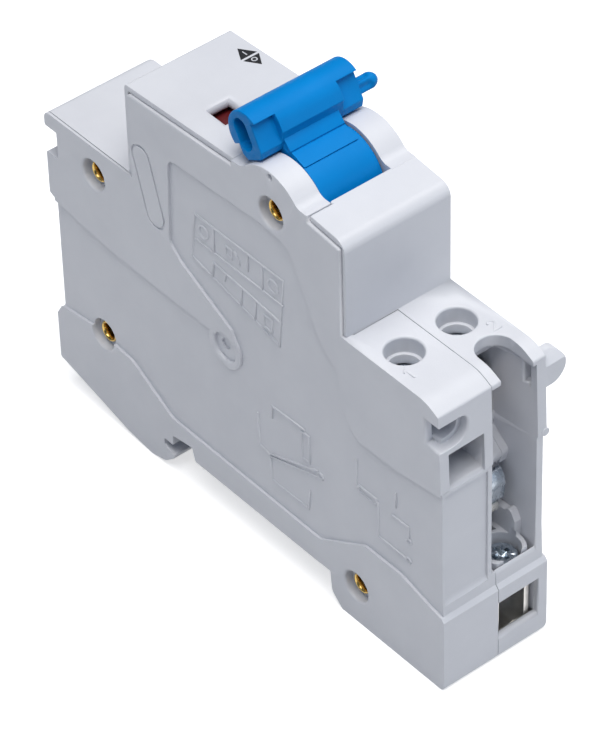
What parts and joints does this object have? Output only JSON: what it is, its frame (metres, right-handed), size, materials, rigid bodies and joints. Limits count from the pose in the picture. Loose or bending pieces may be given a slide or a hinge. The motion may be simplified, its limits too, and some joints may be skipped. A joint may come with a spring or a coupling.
{
  "type": "circuit breaker",
  "caption": "One-module rail-mounted trip unit in a breaker housing: tilting lever with coupling pin, trip coil, screw terminals and a sprung rail clip.",
  "frame": {"origin": "middle of the rail seat: centre of the 35 mm rail, mid plane of the module, plane that rests on the rail", "axes": "+Z out of the rail to the front, +X to the terminal end, +Y to the side that couples to a neighbour"},
  "size_m": [0.0809, 0.0215, 0.0723],
  "materials": {
    "housing_grey": "fine satin moulded plastic, light cool grey",
    "rivet_brass": "rolled hollow brass",
    "lever_blue": "satin blue moulded plastic",
    "spring_steel": "drawn spring wire",
    "flag_red": "dark red moulded plastic",
    "pin_steel": "ground steel pin",
    "bobbin_black": "black moulded plastic",
    "winding_copper": "enamelled copper wire",
    "zinc_steel": "blue zinc plated steel",
    "inner_plastic": "natural moulded plastic",
    "bar_copper": "bare copper",
    "contact_silver": "silver contact",
    "cage_nickel": "bright nickel plated",
    "bar_nickel": "bright nickel plated",
    "clip_grey": "dark grey moulded plastic"
  },
  "bodies": {
    "housing": {"right_shell": "housing_grey", "left_shell": "housing_grey", "housing_rivets": "rivet_brass", "lever_axle": "rivet_brass", "flag_pin": "pin_steel", "coil_bobbin": "bobbin_black", "coil_winding": "winding_copper", "coil_yoke": "zinc_steel", "coil_core": "zinc_steel", "trip_pin": "pin_steel", "contact_pin": "pin_steel", "fixed_contact": "contact_silver", "terminal_insert": "housing_grey", "bar_c1": "bar_copper", "bar_c2": "bar_copper", "bar_lower": "bar_nickel", "lower_strap": "zinc_steel"},
    "lever": {"lever": "lever_blue", "coupling_pin": "lever_blue", "lever_spring": "spring_steel"},
    "flag": {"indicator_flag": "flag_red"},
    "plunger": {"plunger": "zinc_steel", "push_rod": "rivet_brass", "plunger_spring": "spring_steel"},
    "trip": {"trip_lever": "inner_plastic", "trip_driver": "pin_steel"},
    "contact": {"contact_arm": "bar_copper", "contact_tip": "contact_silver"},
    "screw_c1": {"screw_c1": "zinc_steel"},
    "cage_c1": {"cage_c1": "cage_nickel"},
    "screw_c2": {"screw_c2": "zinc_steel"},
    "cage_c2": {"cage_c2": "cage_nickel"},
    "screw_lower": {"screw_lower": "zinc_steel"},
    "cage_lower": {"cage_lower": "cage_nickel"},
    "clip": {"rail_clip": "clip_grey", "clip_spring": "spring_steel"}
  },
  "joints": [
    {"name": "lever_turn", "type": "hinge", "parent": "housing", "child": "lever", "pos_m": [0.0074, 0, 0.055], "axis": [0, 1, 0], "range_deg": [0, 70], "deforming": ["lever_spring"]},
    {"name": "flag_turn", "type": "hinge", "parent": "housing", "child": "flag", "pos_m": [-0.00875, 0, 0.046], "axis": [0, 1, 0], "range_deg": [0, 20.1]},
    {"name": "contact_turn", "type": "hinge", "parent": "housing", "child": "contact", "pos_m": [0.0095, 0, 0.038], "axis": [0, 1, 0], "range_deg": [-18, 0]},
    {"name": "plunger_slide", "type": "slide", "parent": "housing", "child": "plunger", "axis": [1, 0, 0], "range_m": [0, 0.003], "stiffness_N_per_m": 120, "springref_m": -0.002, "deforming": ["plunger_spring"]},
    {"name": "trip_turn", "type": "hinge", "parent": "housing", "child": "trip", "pos_m": [-0.0055, 0, 0.03], "axis": [0, 1, 0], "range_deg": [-23, 0]},
    {"name": "screw_c1_turn", "type": "hinge", "parent": "housing", "child": "screw_c1", "pos_m": [0.0279, -0.0046, 0.0377], "axis": [0, 0, -1], "range_deg": [0, 936]},
    {"name": "cage_c1_lift", "type": "slide", "parent": "housing", "child": "cage_c1", "axis": [0, 0, 1], "range_m": [0, 0.0013]},
    {"name": "screw_c2_turn", "type": "hinge", "parent": "housing", "child": "screw_c2", "pos_m": [0.0279, 0.0041, 0.0377], "axis": [0, 0, -1], "range_deg": [0, 936]},
    {"name": "cage_c2_lift", "type": "slide", "parent": "housing", "child": "cage_c2", "axis": [0, 0, 1], "range_m": [0, 0.0013]},
    {"name": "screw_lower_turn", "type": "hinge", "parent": "housing", "child": "screw_lower", "pos_m": [0.0368, 0.0039, 0.008], "axis": [0, 0, -1], "range_deg": [0, 900]},
    {"name": "cage_lower_lift", "type": "slide", "parent": "housing", "child": "cage_lower", "axis": [0, 0, 1], "range_m": [0, 0.0015]},
    {"name": "clip_slide", "type": "slide", "parent": "housing", "child": "clip", "axis": [1, 0, 0], "range_m": [0, 0.0025], "stiffness_N_per_m": 1500, "springref_m": -0.001, "deforming": ["clip_spring"]}
  ],
  "couplings": [
    {"joint": "flag_turn", "follows": "lever_turn", "ratio": 0.28571},
    {"joint": "contact_turn", "follows": "lever_turn", "ratio": -0.25},
    {"joint": "trip_turn", "follows": "plunger_slide", "rad_per_m": -133.33},
    {"joint": "screw_c1_turn", "follows": "cage_c1_lift", "rad_per_m": 12566},
    {"joint": "screw_c2_turn", "follows": "cage_c2_lift", "rad_per_m": 12566},
    {"joint": "screw_lower_turn", "follows": "cage_lower_lift", "rad_per_m": 10472}
  ]
}
